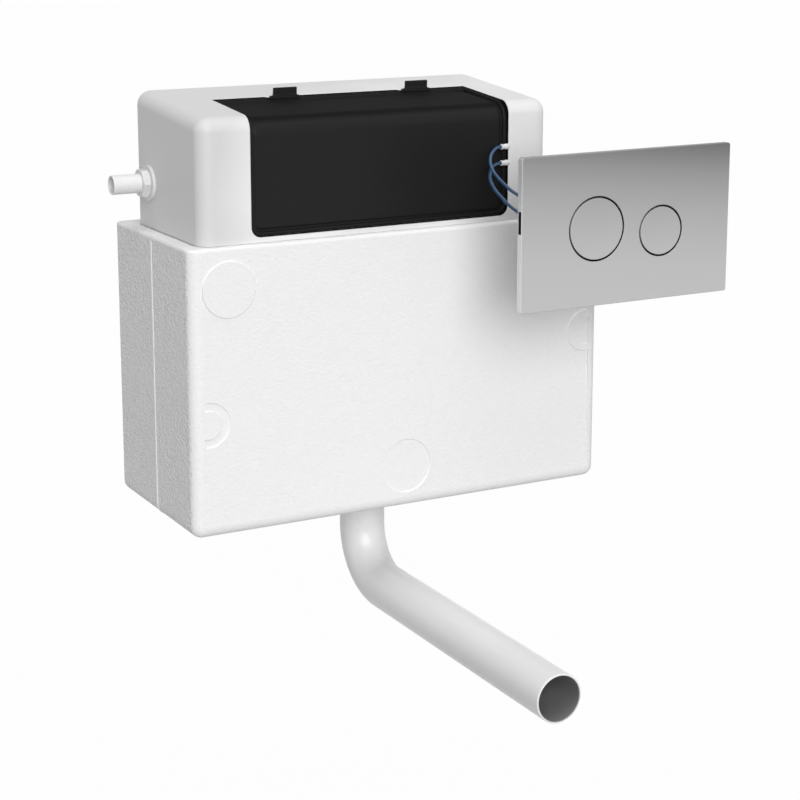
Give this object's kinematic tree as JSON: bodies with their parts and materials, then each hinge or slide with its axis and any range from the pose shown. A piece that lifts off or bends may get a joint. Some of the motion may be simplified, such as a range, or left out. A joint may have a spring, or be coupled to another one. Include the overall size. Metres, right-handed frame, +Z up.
{
  "type": "concealed toilet cistern",
  "caption": "Concealed wall-hung cistern in an insulating jacket, with a dual-flush pneumatic plate, air tubes, side inlet and bent flush pipe",
  "frame": {"origin": "centre of the line between the two hanging screw holes, in the wall plane", "axes": "+X runs along the wall to the flush plate's side, +Y points into the wall, so the front faces -Y, and +Z is up"},
  "size_m": [0.509, 0.44, 0.4962],
  "materials": {
    "tank_plastic": "satin blow-moulded white polyethylene",
    "jacket_foam": "moulded white bead foam",
    "cover_plastic": "fine-grained black plastic",
    "white_plastic": "smooth white plastic",
    "grey_plastic": "light grey plastic",
    "black_plastic": "black plastic",
    "blue_plastic": "smooth blue plastic",
    "seal_rubber": "black rubber",
    "seal_red": "red silicone",
    "tube_blue": "flexible blue tube",
    "plate_satin": "satin grey metallised plastic",
    "spring_steel": "stainless wire"
  },
  "bodies": {
    "cistern": {"tank": "tank_plastic", "jacket_front": "jacket_foam", "jacket_back": "jacket_foam", "inlet_shank": "white_plastic", "inlet_backnut": "grey_plastic", "inlet_flange_washer": "grey_plastic", "inlet_seal": "seal_rubber", "fill_valve_body": "white_plastic", "fill_valve_cap": "blue_plastic", "lever_pin": "spring_steel", "outlet_gasket": "seal_rubber", "flush_valve_base": "white_plastic", "outlet_backnut": "black_plastic", "pipe_coupling_nut": "black_plastic", "pipe_cone_seal": "seal_rubber", "flush_valve_cage": "white_plastic", "actuator_head": "grey_plastic", "full_air_spigot": "white_plastic", "half_air_spigot": "white_plastic", "full_air_tube": "tube_blue", "half_air_tube": "tube_blue", "plate_face": "plate_satin", "plate_frame": "black_plastic", "full_pump_housing": "black_plastic", "half_pump_housing": "black_plastic", "full_button_spring": "spring_steel", "half_button_spring": "spring_steel"},
    "cover": {"access_cover": "cover_plastic", "left_cover_tab": "cover_plastic", "right_cover_tab": "cover_plastic"},
    "float": {"fill_float": "blue_plastic"},
    "lever": {"float_lever": "white_plastic"},
    "flush_spindle": {"overflow_tube": "blue_plastic", "flush_seal": "seal_red"},
    "full_piston_body": {"full_piston": "black_plastic"},
    "half_piston_body": {"half_piston": "black_plastic"},
    "full_button": {"full_flush_button": "plate_satin", "full_pump_plunger": "seal_rubber"},
    "half_button": {"half_flush_button": "plate_satin", "half_pump_plunger": "seal_rubber"},
    "outlet_pipe": {"flush_pipe": "white_plastic"}
  },
  "joints": [
    {"name": "cover_lift", "type": "slide", "parent": "cistern", "child": "cover", "axis": [0, 0, 1], "range_m": [0, 0.14]},
    {"name": "float_rise", "type": "slide", "parent": "cistern", "child": "float", "axis": [0, 0, 1], "range_m": [0, 0.015]},
    {"name": "float_lever_turn", "type": "hinge", "parent": "cistern", "child": "lever", "pos_m": [-0.161, -0.037, -0.025], "axis": [0, -1, 0], "range_deg": [0, 22.1]},
    {"name": "flush_spindle_lift", "type": "slide", "parent": "cistern", "child": "flush_spindle", "axis": [0, 0, 1], "range_m": [0, 0.03]},
    {"name": "full_piston_lift", "type": "slide", "parent": "cistern", "child": "full_piston_body", "axis": [0, 0, 1], "range_m": [0, 0.03]},
    {"name": "half_piston_lift", "type": "slide", "parent": "cistern", "child": "half_piston_body", "axis": [0, 0, 1], "range_m": [0, 0.015]},
    {"name": "full_button_press", "type": "slide", "parent": "cistern", "child": "full_button", "axis": [0, 1, 0], "range_m": [0, 0.005], "stiffness_N_per_m": 400, "springref_m": -0.003, "deforming": ["full_button_spring"]},
    {"name": "half_button_press", "type": "slide", "parent": "cistern", "child": "half_button", "axis": [0, 1, 0], "range_m": [0, 0.005], "stiffness_N_per_m": 400, "springref_m": -0.003, "deforming": ["half_button_spring"]},
    {"name": "flush_pipe_swivel", "type": "hinge", "parent": "cistern", "child": "outlet_pipe", "pos_m": [0, -0.088, -0.36], "axis": [0, 0, 1], "range_deg": [-60, 60]}
  ],
  "couplings": [
    {"joint": "float_lever_turn", "follows": "float_rise", "rad_per_m": 25.62},
    {"joint": "full_piston_lift", "follows": "flush_spindle_lift", "ratio": 1},
    {"joint": "full_button_press", "follows": "flush_spindle_lift", "ratio": 0.16667},
    {"joint": "half_piston_lift", "follows": "half_button_press", "ratio": 3}
  ]
}
